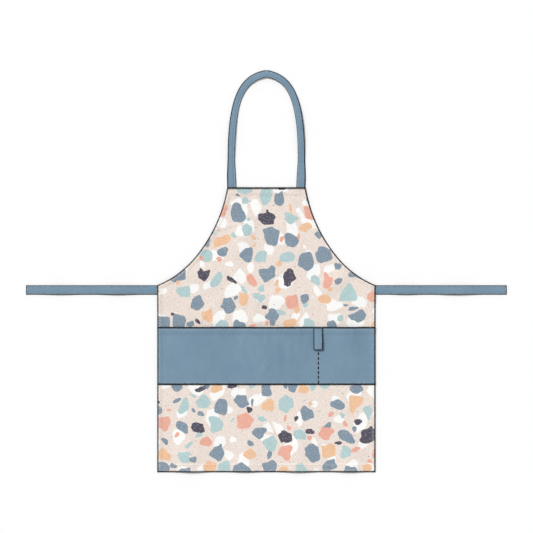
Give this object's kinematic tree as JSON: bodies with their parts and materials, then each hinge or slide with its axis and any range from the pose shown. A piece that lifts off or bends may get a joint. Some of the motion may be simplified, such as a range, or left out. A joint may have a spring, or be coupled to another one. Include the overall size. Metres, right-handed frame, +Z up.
{
  "type": "kitchen apron",
  "caption": "Bib apron of chip-printed cotton with a plain wide waist pocket, a hanging towel loop, a neck strap and straight waist ties, laid out flat.",
  "frame": {"origin": "on the table, under the middle of the apron's outline with its straps", "axes": "+X to the right of the front, along the ties; +Y from the bottom hem to the neck strap; +Z up from the table, out of the apron's front"},
  "size_m": [1.432, 1.1986, 0.0157],
  "materials": {
    "printed_cotton": "matte plain-weave cotton with a printed chip pattern",
    "blue_cotton": "matte plain-weave cotton dyed dusty blue"
  },
  "bodies": {
    "root": {"apron_body": "printed_cotton", "front_pocket": "blue_cotton", "towel_loop": "blue_cotton", "neck_strap": "blue_cotton", "tie_left": "blue_cotton", "tie_right": "blue_cotton"}
  },
  "joints": []
}
